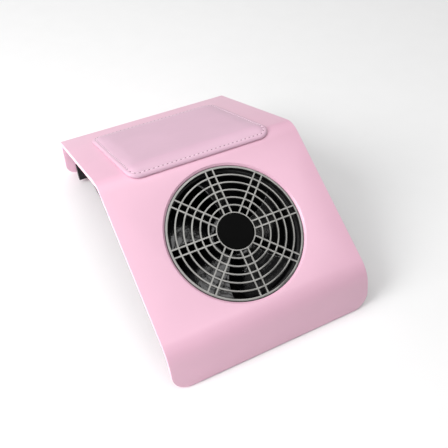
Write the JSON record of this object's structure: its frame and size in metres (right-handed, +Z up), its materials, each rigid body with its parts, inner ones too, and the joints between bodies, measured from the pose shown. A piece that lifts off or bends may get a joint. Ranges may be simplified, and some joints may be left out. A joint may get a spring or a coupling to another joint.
{
  "type": "nail dust collector",
  "caption": "Desktop nail dust collector: a bent pink plate with a padded palm rest over a black fan box with a round finger guard.",
  "frame": {"origin": "middle of the footprint, on the table", "axes": "+X to the right along the width, towards the side with the controls; +Y towards the rear lip, where the palm pad is; +Z up"},
  "size_m": [0.19, 0.3022, 0.1122],
  "materials": {
    "pink_plastic": "satin",
    "pink_leather": "satin",
    "board_plastic": "matte",
    "guard_metal": "polished",
    "black_gloss": "gloss",
    "black_plastic": "satin",
    "black_rubber": "matte",
    "black_foam": "matte",
    "steel": "satin",
    "dark_steel": "satin",
    "copper": "satin",
    "brass": "satin",
    "circuit_green": "satin",
    "terminal_green": "satin",
    "filter_white": "matte",
    "red_plastic": "gloss",
    "red_lead": "satin",
    "aluminium": "satin"
  },
  "bodies": {
    "collector": {"base_housing": "black_plastic", "bearing_lower": "steel", "bearing_upper": "steel", "bottom_cover": "black_plastic", "control_board": "circuit_green", "cover_screw_1": "steel", "cover_screw_2": "steel", "cover_screw_3": "steel", "cover_screw_4": "steel", "fan_circuit_board": "circuit_green", "fan_frame": "black_plastic", "fan_gasket": "black_foam", "fan_lead": "red_lead", "fan_screw_1": "steel", "fan_screw_2": "steel", "fan_screw_3": "steel", "fan_screw_4": "steel", "finger_guard": "guard_metal", "guard_hub_cap": "black_gloss", "heat_sink": "aluminium", "housing_screw_1": "steel", "housing_screw_2": "steel", "housing_screw_3": "steel", "housing_screw_4": "steel", "inlet_jack": "black_plastic", "jack_nut": "steel", "pad_board": "board_plastic", "palm_pad": "pink_leather", "potentiometer": "dark_steel", "power_capacitor": "dark_steel", "power_lead": "red_lead", "rubber_foot_1": "black_rubber", "rubber_foot_2": "black_rubber", "rubber_foot_3": "black_rubber", "rubber_foot_4": "black_rubber", "shell": "pink_plastic", "speed_lead": "red_lead", "speed_nut": "brass", "stator_coil_1": "copper", "stator_coil_2": "copper", "stator_coil_3": "copper", "stator_coil_4": "copper", "stator_core": "steel", "switch_body": "black_plastic", "switch_lead": "red_lead", "terminal_block_1": "terminal_green", "terminal_block_2": "terminal_green"},
    "rotor": {"fan_rotor": "black_plastic", "fan_shaft": "steel", "rotor_magnet": "dark_steel", "shaft_clip": "steel"},
    "cassette": {"filter_cassette": "black_plastic", "filter_mat": "filter_white"},
    "rocker": {"switch_rocker": "red_plastic"},
    "knob": {"speed_knob": "black_plastic", "speed_shaft": "brass"}
  },
  "joints": [
    {"name": "fan_spin", "type": "hinge", "parent": "collector", "child": "rotor", "pos_m": [0, -0.07465, 0.07349], "axis": [0, -0.4695, 0.8829], "continuous": true},
    {"name": "filter_slide", "type": "slide", "parent": "collector", "child": "cassette", "axis": [-1, 0, 0], "range_m": [0, 0.14]},
    {"name": "power_rocker", "type": "hinge", "parent": "collector", "child": "rocker", "pos_m": [0.0744, 0.034, 0.032], "axis": [0, 0, 1], "range_deg": [0, 20]},
    {"name": "speed_turn", "type": "hinge", "parent": "collector", "child": "knob", "pos_m": [0.075, 0.064, 0.032], "axis": [1, 0, 0], "range_deg": [-150, 150]}
  ]
}
